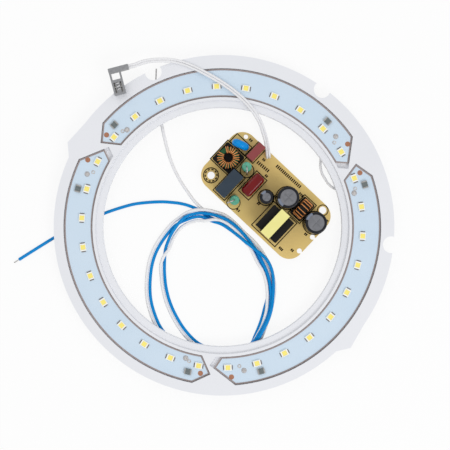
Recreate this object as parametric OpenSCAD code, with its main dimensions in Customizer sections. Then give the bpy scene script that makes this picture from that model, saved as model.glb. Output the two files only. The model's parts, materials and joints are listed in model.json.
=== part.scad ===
// Round LED lamp module. A moulded carrier ring holds three arc LED boards, a loose
// driver board lies in the ring's opening, and the leads lie as they were unpacked.
// Millimetres, +Z up. The origin is the ring's centre, on the table.

/* [Carrier ring] */
// Rim radius on the notched side
rim_r = 80; // [79.4:0.2:84]
// Width of the rim outside the pockets, on the notched side
rim_w = 6.1; // [5.6:0.1:8]
// Width of the board pockets
pocket_w = 13.5; // [13:0.1:15]
// Width of the flat ledge inside the pockets
ledge_w = 1.6; // [1.2:0.1:2.6]
// Width of the low lip round the opening
lip_w = 3.3; // [2.6:0.1:4]
// How much smaller the rim is on the plain side
back_drop = 1.6; // [0.8:0.1:2]
// How far the two rim corners stand out past the rim
corner_rise = 2; // [1:0.1:4]
// Angle from the ring's axis of symmetry to a rim corner
corner_half_angle = 97.3; // [94:0.1:100]
// Angle over which a corner steps back to the plain side
corner_step_angle = 4.2; // [3:0.1:6]
// Direction of the ring's axis of symmetry
ring_axis_angle = 54; // [50:1:58]
// Radius of a rim notch
notch_r = 3.9; // [2.5:0.1:4.6]
// How far a notch's centre lies inside the rim
notch_inset = 1; // [0:0.1:1.2]
// Angle between notches
notch_step = 60; // [50:1:60]
// How far the lip lies below the ring's top
lip_step = 1.1; // [0.6:0.1:1.6]
// Thickness of the lip
lip_t = 1.2; // [0.8:0.1:1.6]
// Thickness of the flange and the webs
flange_t = 1.6; // [1:0.1:2.2]
// Thickness of the pocket walls
wall_t = 1; // [0.6:0.1:1.2]

/* [Pockets and feet] */
// Depth of the pockets below the ring's top
pocket_d = 2.2; // [1.8:0.1:3]
// Thickness of the pocket floor
floor_t = 1.2; // [0.8:0.1:2]
// Height of the feet under the pocket floors
foot_h = 3.2; // [3.2:0.1:5]
// Diameter of the feet
foot_d = 5; // [3:0.5:7]
// Diameter of the windows in the floor below the soldered joints
window_d = 4.6; // [3.6:0.1:4.8]

/* [LED boards] */
// Thickness of the LED boards
board_t = 1; // [0.8:0.1:1.6]
// Gap between a board and its pocket
board_gap = 0.3; // [0.2:0.05:0.7]
// How much a board's clockwise inner edge stays back from the pocket
board_short = 2.2; // [0:0.1:2.6]
// Number of LEDs on a board
led_count = 10; // [4:1:10]
// Angle between LEDs
led_step = 12; // [10:0.5:12]
// Angle from a pocket's clockwise end to its first LED
led_start = 7.2; // [6.6:0.1:8]
// Distance from the pocket's inner radius to the LED row
led_inset = 5.1; // [4.6:0.1:5.4]
// Length of an LED along the row
led_l = 3.5; // [3:0.1:3.8]
// Width of an LED across the row
led_w = 2.8; // [2.6:0.1:3]
// Height of an LED
led_h = 0.75; // [0.6:0.05:0.9]
// Side of the LED's square window
led_window = 2.2; // [1.6:0.1:2.3]
// Depth of the LED's window
led_window_d = 0.35; // [0.2:0.05:0.45]
// Length of a terminal past the LED's end
led_terminal_l = 0.5; // [0.3:0.05:0.6]
// Diameter of the bare copper pads
copper_pad_d = 2.4; // [1.6:0.1:2.4]
// Length of the larger chips
chip_l = 3.4; // [2.4:0.1:3.6]
// Width of the larger chips
chip_w = 2.6; // [1.6:0.1:2.8]
// Height of the larger chips
chip_h = 0.9; // [0.5:0.05:1.2]
// Diameter of a soldered joint
joint_d = 2.4; // [1.8:0.1:2.4]
// Height of a soldered joint
joint_h = 0.9; // [0.5:0.05:1]
// Outer diameter of an open solder pad
pad_ring_d = 1.8; // [1.4:0.1:1.8]

/* [Driver board] */
// Length of the driver board
drv_l = 61; // [61:0.5:66]
// Width of the driver board
drv_w = 32; // [32:0.5:36]
// Thickness of the driver board
drv_t = 1.6; // [1:0.1:2]
// Corner radius of the driver board
drv_corner_r = 7; // [3:0.5:8]
// Height of the soldered pins under the driver board
pin_h = 2; // [1.5:0.1:3]
// Diameter of the two mounting holes
drv_hole_d = 3.5; // [3:0.1:3.6]
// Diameter of the wire notches in the board's end
wire_notch_d = 2.4; // [1.8:0.1:2.6]

/* [Driver parts] */
// Side of the flat toroid's square base
toroid_base_w = 10.9; // [10:0.1:11]
// Outer diameter of the flat toroid's core
toroid_d = 9.6; // [9:0.1:9.8]
// Hole of the flat toroid's core
toroid_hole_d = 5.2; // [5.2:0.1:5.8]
// Height of the flat toroid's core
toroid_h = 3.6; // [3:0.1:5]
// Diameter of the disc capacitor
disc_d = 8.4; // [7:0.1:8.6]
// Thickness of the disc capacitor
disc_t = 3.6; // [2.5:0.1:4]
// Height of the slate box capacitor
box_cap_h = 12; // [9:0.5:14]
// Height of the small film capacitor
small_film_h = 8; // [6:0.5:10]
// Height of the dipped film capacitor
large_film_h = 9.5; // [8:0.5:12]
// Diameter of the axial inductors
inductor_d = 4.5; // [3.6:0.1:4.8]
// Height of the axial inductors
inductor_h = 8.5; // [7:0.5:11]
// Diameter of the two large electrolytic capacitors
big_can_d = 10; // [9:0.1:10.2]
// Height of the two large electrolytic capacitors
big_can_h = 13; // [10:0.5:16]
// Diameter of the small electrolytic capacitor
small_can_d = 6.3; // [5:0.1:6.6]
// Height of the small electrolytic capacitor
small_can_h = 11; // [8:0.5:14]
// Outer diameter of the upright choke's core
choke_d = 8; // [7.6:0.1:8.4]
// Thickness of the upright choke's core
choke_t = 4; // [3.2:0.1:4.2]
// Width of the transformer's core
core_w = 13.9; // [13.2:0.1:14]
// Height of the transformer's core
core_h = 12.6; // [12:0.1:14]
// Thickness of the transformer's core
core_t = 5.4; // [5:0.1:5.6]
// Width of the tape round the transformer's core
tape_w = 5; // [3:0.1:5]

/* [Leads and plug] */
// Diameter of the blue and the white supply lead
lead_d = 1.3; // [1:0.1:1.3]
// Diameter of the link wires between the boards
link_d = 1.2; // [0.8:0.1:1.2]
// Diameter of each wire of the driver's twin lead
twin_d = 1.1; // [0.8:0.05:1.1]
// Diameter of the bared strands
strand_d = 0.6; // [0.4:0.05:0.8]
// Length of the plug's cross bar
plug_bar_l = 9.6; // [9:0.1:11]
// Width of the plug's cross bar
plug_bar_w = 2.4; // [2.4:0.1:3]
// Height of the plug
plug_h = 3.6; // [3:0.1:4]
// Width of the plug's body
plug_body_w = 5.4; // [5:0.1:5.6]
// Reach of the plug's body from the middle of the bar
plug_reach = 11.5; // [11:0.1:13]

/* [Hidden] */
$fn = 96;

// Radii of the ring, from the rim inwards
pocket_out_r = rim_r - rim_w;
pocket_in_r = pocket_out_r - pocket_w;
hole_r = pocket_in_r - ledge_w - lip_w;

// Heights of the ring's faces
floor_z = foot_h + floor_t;
ring_top = floor_z + pocket_d;
board_top = floor_z + board_t;

// Pockets: one gap between pockets every third of a turn, with interlocking pointed ends
gap_first = 25.1;
gap_step = 120;
gap_top = gap_first;
gap_left = gap_first + gap_step;
gap_right = gap_first + 2 * gap_step;
gaps = [gap_top, gap_left, gap_right];
pocket_overrun = 6;
cw_tip_out = 4.2;
ccw_tip_out = 8.4;
tip_side = 0.4;
cw_tip = [pocket_in_r + cw_tip_out, -tip_side];
cw_outer_dir = 57;
cw_inner_dir = 150.3;
ccw_tip = [pocket_in_r + ccw_tip_out, tip_side];
ccw_outer_dir = -60.5;
ccw_inner_dir = 208.5;
cutter_l = 60;
cutter_w = 40;
corner_root_angle = 4;
corner_root_depth = 0.2;
corner_blend_angle = 8;
corner_overlap = 1.3;
lip_draft = 0.35;
lip_edge = 0.4;
foot_angles = [45, 75];
foot_ring_r = (pocket_in_r + pocket_out_r) / 2;

// Places on a board: distance out from the pocket's inner radius, angle from its gap
copper_places = [[9.6, 8.4], [8.5, 116.4]];
chip_places = [[9.1, 20], [8.8, 111.5]];
pad_ring_places = [[4.9, 11.9], [4, 111]];
cw_joint = [7.2, 13.5];
ccw_joint = [3, 109.3];
copper_t = 0.05;
stem_d = 1.1;
stem_clearance = 0.05;
terminal_w = 2;
terminal_h = 0.2;
chip_end_l = 0.55;
pad_ring_t = 0.12;
pad_ring_w = 0.45;
joint_shoulder_r = 0.9;
joint_top_r = 0.4;
phosphor_clearance = 0.02;
phosphor_dip = 0.07;

// Driver board: middle, turn and places of its parts along and across it
drv_away = 30.4;
drv_bearing = 35.9;
drv_at = (hole_r - drv_away) * [cos(drv_bearing), sin(drv_bearing)];
drv_angle = -43.3;
drv_top = pin_h + drv_t;
drv_holes = [[5.4 - drv_l / 2, 5.3 - drv_w / 2], [drv_l / 2 - 6.4, drv_w / 2 - 2.8]];
small_hole_d = 2.1;
small_hole_at = [4.9 - drv_l / 2, drv_w / 2 - 2.4];
wire_notch_inset = 1.3;
wire_notch_places = [0.8, -8.1];
wire_notch_mouth = 1.2;
toroid_at = [-24.7, 0.7];
toroid_base_t = 1.4;
toroid_turns = 18;
toroid_wire = 0.62;
wire_clearance = 0.1;
base_corner_r = 0.8;
disc_at = [-24.7, 8.9];
disc_angle = 19;
disc_lift = 1.1;
disc_pitch = 5;
part_lead_d = 0.6;
small_film_at = [-17.2, 11.3];
small_film_size = [3.9, 8.9];
small_film_pitch = 5;
box_cap_at = [-16.1, -7.9];
box_cap_size = [6, 13];
box_cap_pitch = 10;
box_edge_r = 0.5;
large_film_at = [-7.7, -0.8];
large_film_size = [5.5, 11.5];
large_film_round = 1.6;
large_film_lift = 0.9;
large_film_pitch = 7.5;
inductor_places = [[-15.5, 3.3, 315], [-9.1, -11.7, 245]];
inductor_waist = 0.25;
inductor_cap_h = 2.2;
inductor_bevel = 0.5;
hairpin_span = 3.4;
hairpin_rise = 0.8;
small_can_at = [0.7, -0.7];
mid_can_at = [8.1, 6];
end_can_at = [25.3, 6.2];
sleeve_t = 0.3;
sleeve_clearance = 0.02;
sleeve_lip_w = 1.2;
can_inset = 0.25;
can_edge_r = 0.5;
can_groove_z = 2.2;
can_groove_r = 0.35;
score_w = 0.35;
score_d = 0.25;
choke_at = [16.7, 7];
choke_base_size = [6.6, 10.4];
choke_base_t = 1.2;
choke_hole_d = 4;
choke_lift = 0.3;
choke_turns = 6;
choke_wire = 0.55;
choke_turn_angle = 25;
choke_first_angle = -50;
trafo_at = [12, -7];
trafo_lift = 0.4;
core_bar = 2.6;
core_leg = 2.4;
core_mid = 3.6;
trafo_gap = 0.1;
bobbin_l = 12.4;
bobbin_w = 12.5;
bobbin_t = 0.8;
bobbin_tube_t = 0.6;
trafo_pin_pitch = 3;
trafo_pin_rows = 10;
winding_margin = 0.4;
winding_corner_r = 1.2;
tape_t = 0.15;
solder_d = 2;
pin_r = 0.35;
toroid_pin_inset = 1.3;
choke_pin_inset = [1, 1.2];
small_can_pitch = 2.5;
big_can_pitch = 5;
twin_pitch = 2.6;
solder_h = 1.1;

// Twin lead: it comes up through the board, crosses the ring and lies down to the plug
twin_at = [-11.3, 13.75];
twin_side = 0.58;
plug_at = [-48.1, 73.1];
plug_seat = 0.05;
plug_angle = 14.5;
plug_body_shift = -2;
plug_corner_r = 0.3;
plug_rail = 0.75;
plug_window_l = 3.3;
plug_block_l = 1.3;
plug_wall = 0.8;
plug_floor = 0.7;
plug_slot_w = 0.7;
plug_slot_out = 1.45;
plug_small_window = [1.4, 0.7];
plug_small_pitch = 1.35;
plug_small_count = 3;
plug_socket_d = 0.8;
plug_wire_z = 1.8;
contact_t = 0.4;
contact_gap = 0.1;

// Routes of the leads, chosen by hand. On the coil's right side the strands lie in three lanes, two or three high
low_z = 0.66;
high_z = 2.1;
top_z = 3.55;
lane_outer = [[-4.2, 5.7], [0.8, 4.1], [5.9, 0.8], [10.6, -4], [13.9, -8.2], [16.6, -11.8], [19.9, -14.9],
  [22.5, -18.8], [23.8, -23.6], [24, -29], [23.9, -34], [23.3, -38.8], [21.8, -43.6], [19.6, -48],
  [17.4, -51.6], [15.6, -54.4]];
lane_middle = [[-4.7, 4.3], [0.2, 2.7], [5, -0.4], [9.5, -5], [12.8, -9.2], [15.4, -12.7], [17.7, -15.8],
  [20, -19.6], [21.6, -24], [22.4, -29], [22.4, -33.9], [21.8, -38.4], [20.4, -43], [18.3, -47.2],
  [16.1, -50.8], [14.4, -53.5]];
lane_inner = [[-5.2, 2.9], [-0.4, 1.3], [4.1, -1.6], [8.4, -6], [11.7, -10.2], [14.2, -13.6],
  [16.4, -16.6], [18.6, -20.2], [20.1, -24.4], [20.9, -29], [20.9, -33.8], [20.4, -38], [19.1, -42.4],
  [17, -46.4], [14.9, -49.9], [13.2, -52.6]];
low_stations = [3, 5, 7, 9, 11, 13, 15];
blue_strands = [[-97.7, -16.75, low_z], [-96.5, -16, low_z], [-95.4, -15.3, low_z]];
blue_out = [[-95.4, -15.3, low_z], [-87, -10, low_z], [-78.2, -4.6, low_z], [-67, 1.4, low_z],
  [-55.4, 6.4, low_z], [-43.7, 10.2, low_z], [-37.3, 11.3, low_z], [-28.7, 11.8, low_z],
  [-22.4, 11.4, low_z], [-18.6, 10.8, low_z], [-14.9, 9.7, low_z], [-10.9, 7.9, low_z]];
blue_first = [[-8.4, 5.9, low_z], [-4.9, 4.1, low_z], [-0.1, 2.3, low_z], [4.4, -1, low_z]];
blue_inner_return = [[9.6, -55.6, low_z], [4, -57.5, low_z], [-2, -57.6, low_z], [-7.5, -56.4, low_z],
  [-11.9, -54.1, low_z], [-17, -49, low_z], [-21, -43, low_z], [-24.3, -36.1, low_z], [-26.3, -29, low_z],
  [-27.1, -22, low_z], [-27.1, -15.6, low_z], [-26.7, -10.6, low_z], [-25.5, -6.9, 1.2],
  [-23.8, -3.1, 1.9], [-21.9, -0.2, high_z], [-20, 2.3, high_z], [-16.7, 5, high_z], [-13, 6.2, high_z],
  [-9.9, 6.5, high_z]];
blue_second_cross = [[16, -12.3, high_z]];
blue_second_dip = [[21.6, -33.9, high_z]];
blue_outer_return = [[10.4, -57, high_z], [6.5, -60.4, 2], [1, -61.9, low_z], [-6.5, -61.6, low_z],
  [-15, -58.6, low_z], [-22.6, -53.9, low_z], [-28.2, -48.3, low_z], [-31.7, -41, low_z],
  [-33.7, -33, low_z], [-33.8, -24, low_z], [-32.4, -15.5, low_z], [-29.2, -8.3, low_z],
  [-23.4, -0.5, low_z], [-20, 2, low_z], [-16.6, 3.5, 1.2], [-13.2, 4.6, 1.9], [-9.9, 4.8, high_z]];
blue_third_cross = [[8.4, -6, 2.8], [11.7, -10.2, top_z], [15.4, -12.7, top_z], [19.9, -14.9, top_z],
  [22.5, -18.8, 2.8]];
blue_end = [[13.2, -59.4, high_z], [9, -63.6, high_z], [2, -65.6, 1.6], [-5, -65.5, 1.2], [-11, -64, 1.4],
  [-15.4, -62, 2.5]];
white_strands = [[-31, 74.3, low_z], [-31.2, 71.5, low_z], [-31.2, 68.8, low_z]];
white_out = [[-31.2, 68.8, low_z], [-31.2, 62.5, low_z], [-29.8, 55.5, low_z], [-28.3, 47.2, low_z],
  [-26.8, 40.4, low_z], [-24.9, 33.3, low_z], [-22.3, 26.6, low_z], [-19.3, 21, low_z],
  [-16.3, 16.5, low_z], [-13.3, 12.4, low_z], [-9.6, 8.7, low_z]];
white_first = [[-7, 7.1, low_z], [-4.2, 5.8, low_z], [0.5, 3.9, low_z], [5.3, 0.2, low_z]];
white_inner_return = [[10.6, -57.2, low_z], [4.6, -59.2, low_z], [-2, -59.3, low_z], [-8.1, -58, low_z],
  [-12.9, -55.5, low_z], [-18.3, -50.1, low_z], [-22.5, -43.8, low_z], [-25.9, -36.7, low_z],
  [-27.9, -29.3, low_z], [-28.8, -22, low_z], [-28.8, -17.6, 1.3], [-27.3, -13.6, 2.2],
  [-24.9, -10.2, 1.6], [-23.3, -6, low_z], [-21.2, -2.4, low_z], [-18.6, 0.3, low_z], [-15.2, 2.1, 1.3],
  [-11.6, 3, 2.6], [-8, 2.9, top_z], [-3.6, 3.5, top_z]];
white_second_cross = [[14.8, -13.2, high_z]];
white_second_over = [[20.1, -24.4, 2.4], [20.9, -29, 3.4], [21.6, -33.9, top_z], [21.8, -38.4, 3.4]];
white_outer_return = [[11.8, -58.2, high_z], [7.6, -62, 2], [1.2, -63.6, low_z], [-6.8, -63.3, low_z],
  [-15.7, -60.2, low_z], [-23.6, -55.2, low_z], [-29.6, -49.3, low_z], [-33.3, -41.6, low_z],
  [-35.4, -33.2, low_z], [-35.5, -23.8, low_z], [-34, -14.9, low_z], [-30.7, -7.4, low_z],
  [-24.4, 1, low_z], [-20.6, 4.1, 1], [-17, 6.6, 1.6], [-13.2, 7.9, high_z], [-9.8, 8.1, high_z]];
white_third = [[-6.6, 7.9, high_z], [-3.6, 7.2, 1.5], [1.3, 5.5, low_z], [6.2, 1.7, low_z]];
white_end = [[14.4, -58, low_z], [12.8, -61.6, low_z], [11.4, -64.8, 1], [10.5, -66.4, 2.4]];
link_right_way = [[60.2, 16.4, 2], [57.8, 16.8, 0.9], [55.5, 17.3, 0.6], [52.6, 18.1, 0.6], [50, 20, 0.6],
  [48.2, 22.6, 0.6], [46.9, 25, 0.6], [46.1, 28, 0.6], [46.1, 31, 0.6], [46.9, 34.5, 0.6], [48.8, 37.6, 0.6],
  [50.6, 40, 1.4], [52.1, 41.7, 2.6]];
link_left_way = [[-46, 44.2, 2.2], [-49.6, 41, 1.2], [-53.4, 36.8, 0.9], [-57, 32.2, 1], [-60.2, 27.8, 1.5],
  [-62.2, 25.4, 2.6]];
joint_drop = 0.9;
twin_way = [[21.2, 33.8, 5.9], [20.9, 37, 4.9], [20.1, 41.5, 4.3], [17.9, 48.2, 5.2], [16.4, 51, 6.2],
  [13.6, 55, 7.2], [9.8, 59.2, 7.3], [4.9, 63.4, 7.25], [-1, 67.5, 7.25], [-8, 71.5, 7.25],
  [-15, 74.9, 7.25], [-21.5, 77, 7.3], [-27.5, 77.5, 7.8], [-33.5, 77.1, 8.3], [-37.2, 76.3, 8.4]];

// Points and routes
function polar(r, a) = r * [cos(a), sin(a)];
function unit(v) = v / norm(v);
function lane(points, stations, z) = [for (k = stations) [points[k][0], points[k][1], z]];
function board_point(place, gap) = polar(pocket_in_r + place[0], gap + place[1]);
function on_board(place, gap, z) = concat(board_point(place, gap), [z]);
function driver_point(at) = drv_at + [at[0] * cos(drv_angle) - at[1] * sin(drv_angle),
  at[0] * sin(drv_angle) + at[1] * cos(drv_angle)];
function heading(p, i) = i == 0 ? unit(p[1] - p[0])
  : i == len(p) - 1 ? unit(p[i] - p[i - 1])
  : unit(unit(p[i + 1] - p[i]) + unit(p[i] - p[i - 1]));
function across(side, way) = unit(side - (side * way) * way);
function side_list(p) = [for (i = 0, s = across([0.3, 0.5, 1.7], heading(p, 0)); i < len(p);
  i = i + 1, s = i < len(p) ? across(s, heading(p, i)) : s) s];
// A route moved sideways in plan, to the right of its way
function beside(p, gap) = [for (i = [0:len(p) - 1])
  let (j = max(1, min(i, len(p) - 2)), way = p[j + 1] - p[j - 1])
  p[i] + gap * unit([way[1], -way[0], 0])];

plug_lift = ring_top + plug_seat;
plug_mouth = concat(plug_at + polar(plug_bar_l / 2, plug_angle), [plug_lift + plug_wire_z]);
plug_run = 1.6;
twin_start = driver_point(twin_at);
twin_rise = 1.6;
twin_route = concat(
  [concat(twin_start, [drv_top]), concat(twin_start, [drv_top + twin_rise])],
  twin_way,
  [for (k = [2, 1, 0]) plug_mouth + concat(polar(k * plug_run, plug_angle), [0])]);
blue_joint = on_board(ccw_joint, gap_left, floor_z);
white_joint = on_board(cw_joint, gap_right, floor_z);
blue_route = concat(blue_out, blue_first, lane(lane_inner, low_stations, low_z), blue_inner_return,
  lane(lane_outer, [0:4], high_z), blue_second_cross, lane(lane_middle, [6:9], high_z), blue_second_dip,
  lane(lane_inner, [11, 13, 15], high_z), blue_outer_return,
  lane(lane_inner, [0:2], high_z), blue_third_cross, lane(lane_outer, [8, 9, 10, 11, 13, 15], high_z),
  blue_end, [blue_joint - [0, 0, joint_drop], blue_joint]);
white_route = concat(white_out, white_first, lane(lane_middle, low_stations, low_z), white_inner_return,
  lane(lane_middle, [1:4], high_z), white_second_cross, lane(lane_inner, [6, 7], high_z), white_second_over,
  lane(lane_middle, [13, 15], high_z), white_outer_return,
  white_third, lane(lane_outer, low_stations, low_z),
  white_end, [white_joint - [0, 0, joint_drop], white_joint]);
function link_route(from, way, to) =
  concat([from, from - [0, 0, joint_drop]], way, [to - [0, 0, joint_drop], to]);

// Plane shapes
module rounded_rect(l, w, r) {
  square([l, w - 2 * r], center = true);
  square([l - 2 * r, w], center = true);
  for (x = [-1, 1], y = [-1, 1]) translate([x * (l / 2 - r), y * (w / 2 - r)]) circle(r);
}

module wedge(from, to) {
  reach = 2 * (rim_r + corner_rise);
  steps = 4;
  polygon(concat([[0, 0]], [for (i = [0:steps]) polar(reach, from + (to - from) * i / steps)]));
}

module wire_frame(l, w, wire, clearance) {
  difference() {
    rounded_rect(l + 2 * (clearance + wire), w + 2 * (clearance + wire), wire);
    square([l + 2 * clearance, w + 2 * clearance], center = true);
  }
}

module rounded_block(size, h, r) {
  linear_extrude(h) rounded_rect(size[0], size[1], r);
}

// A round cord along a route, as one closed skin
module cord(p, d) {
  ring_sides = 8;
  last = len(p) - 1;
  side = side_list(p);
  points = [for (i = [0:last], j = [0:ring_sides - 1])
    let (a = 360 * j / ring_sides)
    p[i] + d / 2 * (cos(a) * side[i] + sin(a) * cross(heading(p, i), side[i]))];
  skin = [for (i = [0:last - 1], j = [0:ring_sides - 1], half = [0, 1])
    let (k = (j + 1) % ring_sides, a = i * ring_sides, b = a + ring_sides)
    half == 0 ? [a + j, b + j, b + k] : [a + j, b + k, a + k]];
  start = [[for (j = [0:ring_sides - 1]) j]];
  end = [[for (j = [0:ring_sides - 1]) last * ring_sides + ring_sides - 1 - j]];
  polyhedron(concat(points), concat(skin, start, end));
}

// Carrier ring
rim_tangent = corner_half_angle - acos(rim_r / (rim_r + corner_rise));

module rim_corner(s) {
  root = ring_axis_angle + s * (rim_tangent - corner_root_angle);
  foot = ring_axis_angle + s * (corner_half_angle + corner_step_angle);
  tip = polar(rim_r + corner_rise, ring_axis_angle + s * corner_half_angle);
  step = polar(rim_r - back_drop, foot) - tip;
  polygon([polar(rim_r - corner_root_depth, root), tip, tip + corner_overlap * step, polar(pocket_out_r, foot),
    polar(pocket_out_r, root)]);
}

module rim_outline() {
  front = rim_tangent + corner_blend_angle;
  circle(rim_r - back_drop);
  intersection() {
    circle(rim_r);
    wedge(ring_axis_angle - front, ring_axis_angle + front);
  }
  for (s = [-1, 1]) rim_corner(s);
}

module pocket_outline(gap, grow, short = 0) {
  difference() {
    intersection() {
      difference() {
        circle(pocket_out_r + grow);
        circle(pocket_in_r - grow);
      }
      wedge(gap - pocket_overrun, gap + gap_step + pocket_overrun);
    }
    rotate(gap) translate(cw_tip) {
      rotate(cw_outer_dir) translate([-cutter_l / 3, -cutter_w - grow]) square([cutter_l, cutter_w]);
      rotate(cw_inner_dir) translate([-cutter_l / 3, grow - short]) square([cutter_l, cutter_w]);
    }
    rotate(gap + gap_step) translate(ccw_tip) {
      rotate(ccw_outer_dir) translate([-cutter_l / 3, grow]) square([cutter_l, cutter_w]);
      rotate(ccw_inner_dir) translate([-cutter_l / 3, -cutter_w - grow]) square([cutter_l, cutter_w]);
    }
  }
}

module lip_profile() {
  step_r = hole_r + lip_w;
  lip_top = ring_top - lip_step;
  polygon([[pocket_in_r, ring_top], [step_r + lip_draft, ring_top], [step_r, lip_top],
    [hole_r + lip_edge, lip_top], [hole_r, lip_top - lip_edge], [hole_r, lip_top - lip_t], [pocket_in_r, lip_top - lip_t]]);
}

module carrier_ring() {
  cut = 1;
  color([0.9, 0.91, 0.94])
  difference() {
    union() {
      translate([0, 0, ring_top - flange_t]) linear_extrude(flange_t) difference() {
        rim_outline();
        circle(pocket_in_r - wall_t);
      }
      rotate_extrude() lip_profile();
      for (gap = gaps) {
        translate([0, 0, foot_h]) linear_extrude(ring_top - foot_h) pocket_outline(gap, wall_t);
        for (a = foot_angles) translate(concat(polar(foot_ring_r, gap + a), [0]))
          cylinder(d = foot_d, h = foot_h + floor_t / 2);
      }
    }
    for (gap = gaps) {
      translate([0, 0, floor_z]) linear_extrude(pocket_d + cut) pocket_outline(gap, 0);
      for (place = [cw_joint, ccw_joint]) translate(on_board(place, gap, foot_h - cut))
        cylinder(d = window_d, h = floor_t + 2 * cut);
    }
    for (s = [-1, 0, 1]) translate(concat(polar(rim_r - notch_inset, ring_axis_angle + s * notch_step), [0]))
      cylinder(r = notch_r, h = ring_top + cut);
  }
}

// LED boards and what is soldered to them
module led_board(gap) {
  color([0.8, 0.87, 0.94])
  translate([0, 0, floor_z]) linear_extrude(board_t) difference() {
    pocket_outline(gap, -board_gap, board_short);
    for (place = [cw_joint, ccw_joint]) translate(board_point(place, gap)) circle(d = stem_d + 2 * stem_clearance);
  }
}

module at_place(place, gap, z) {
  translate(on_board(place, gap, z)) rotate(gap + place[1]) children();
}

module each_led(gap) {
  for (i = [0:led_count - 1]) at_place([led_inset, led_start + i * led_step], gap, board_top) children();
}

module led_frames(gap) {
  color("white") each_led(gap) difference() {
    translate([-led_w / 2, -led_l / 2, 0]) cube([led_w, led_l, led_h]);
    translate([-led_window / 2, -led_window / 2, led_h - led_window_d]) cube([led_window, led_window, led_h]);
  }
}

module led_phosphor(gap) {
  side = led_window - 2 * phosphor_clearance;
  color([0.97, 0.93, 0.6]) each_led(gap) translate([-side / 2, -side / 2, led_h - led_window_d])
    cube([side, side, led_window_d - phosphor_dip]);
}

module led_terminals(gap) {
  color("silver") each_led(gap) for (s = [-1, 1])
    translate([-terminal_w / 2, s * (led_l + led_terminal_l) / 2 - led_terminal_l / 2, 0])
      cube([terminal_w, led_terminal_l, terminal_h]);
}

module board_copper_pads() {
  color([0.67, 0.5, 0.42]) for (gap = gaps, place = copper_places) at_place(place, gap, board_top)
    cylinder(d = copper_pad_d, h = copper_t);
}

module board_chips() {
  body_l = chip_l - 2 * chip_end_l;
  color([0.33, 0.37, 0.36]) for (gap = gaps, place = chip_places) at_place(place, gap, board_top)
    translate([-chip_w / 2, -body_l / 2, 0]) cube([chip_w, body_l, chip_h]);
}

module board_chip_terminals() {
  color("dimgray") for (gap = gaps, place = chip_places, s = [-1, 1]) at_place(place, gap, board_top)
    translate([-chip_w / 2, s * (chip_l - chip_end_l) / 2 - chip_end_l / 2, 0]) cube([chip_w, chip_end_l, chip_h]);
}

module board_solder_joints() {
  r = joint_d / 2;
  color("silver") for (gap = gaps, place = [cw_joint, ccw_joint]) at_place(place, gap, floor_z) rotate_extrude()
    polygon([[0, 0], [stem_d / 2, 0], [stem_d / 2, board_t], [r, board_t],
      [joint_shoulder_r, board_t + joint_h / 2], [joint_top_r, board_t + joint_h], [0, board_t + joint_h]]);
}

module board_pad_rings() {
  color("silver") for (gap = gaps, place = pad_ring_places) at_place(place, gap, board_top) difference() {
    cylinder(d = pad_ring_d, h = pad_ring_t);
    translate([0, 0, -1]) cylinder(d = pad_ring_d - 2 * pad_ring_w, h = pad_ring_t + 2);
  }
}

// Leads
module link_wire_right() {
  color("white") cord(link_route(on_board(ccw_joint, gap_right, floor_z), link_right_way,
    on_board(cw_joint, gap_top, floor_z)), link_d);
}

module link_wire_left() {
  color("white") cord(link_route(on_board(ccw_joint, gap_top, floor_z), link_left_way,
    on_board(cw_joint, gap_left, floor_z)), link_d);
}

module lead_blue() {
  color([0.04, 0.49, 0.78]) cord(blue_route, lead_d);
}

module lead_blue_strands() {
  color("silver") cord(blue_strands, strand_d);
}

module lead_white() {
  color("white") cord(white_route, lead_d);
}

module lead_white_strands() {
  color("silver") cord(white_strands, strand_d);
}

module driver_lead_a() {
  color("white") cord(beside(twin_route, twin_side), twin_d);
}

module driver_lead_b() {
  color("white") cord(beside(twin_route, -twin_side), twin_d);
}

// Driver board
module on_driver(at, z) {
  translate(concat(drv_at, [z])) rotate(drv_angle) translate(at) children();
}

module driver_board() {
  color([0.83, 0.7, 0.43]) on_driver([0, 0], pin_h) linear_extrude(drv_t) difference() {
    rounded_rect(drv_l, drv_w, drv_corner_r);
    for (at = drv_holes) translate(at) circle(d = drv_hole_d);
    translate(small_hole_at) circle(d = small_hole_d);
    for (v = wire_notch_places) translate([drv_l / 2 - wire_notch_inset, v]) {
      circle(d = wire_notch_d);
      translate([0, -wire_notch_mouth / 2]) square([2 * wire_notch_inset, wire_notch_mouth]);
    }
  }
}

// Two points on opposite sides of a place, and four round it
function pair(at, pitch, a = 0) = [at - polar(pitch / 2, a), at + polar(pitch / 2, a)];
function four(at, l, w) = [for (x = [-1, 1], y = [-1, 1]) at + [x * l / 2, y * w / 2]];
solder_places = concat(
  four(toroid_at, toroid_base_w - 2 * toroid_pin_inset, toroid_base_w - 2 * toroid_pin_inset),
  pair(disc_at, disc_pitch, disc_angle), pair(small_film_at, small_film_pitch, 90),
  pair(box_cap_at, box_cap_pitch, 90), pair(large_film_at, large_film_pitch, 90),
  [for (p = inductor_places, k = [0, 1]) [p[0], p[1]] + k * polar(hairpin_span, p[2])],
  pair(small_can_at, small_can_pitch), pair(mid_can_at, big_can_pitch), pair(end_can_at, big_can_pitch),
  four(choke_at, choke_base_size[0] - 2 * choke_pin_inset[0], choke_base_size[1] - 2 * choke_pin_inset[1]),
  [for (s = [-1, 1], k = [-1.5:1.5]) trafo_at + [s * trafo_pin_rows / 2, k * trafo_pin_pitch]],
  pair(twin_at, twin_pitch));

module driver_solder_joints() {
  color("silver") for (at = solder_places) on_driver(at, 0) rotate_extrude()
    polygon([[0, 0], [pin_r, 0], [pin_r, pin_h - solder_h], [solder_d / 3, pin_h - solder_h / 3], [solder_d / 2, pin_h],
      [0, pin_h]]);
}

module toroid_base() {
  color([0.1, 0.1, 0.1]) on_driver(toroid_at, drv_top)
    rounded_block([toroid_base_w, toroid_base_w], toroid_base_t, base_corner_r);
}

toroid_mid_z = drv_top + toroid_base_t + wire_clearance + toroid_wire + toroid_h / 2;

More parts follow.
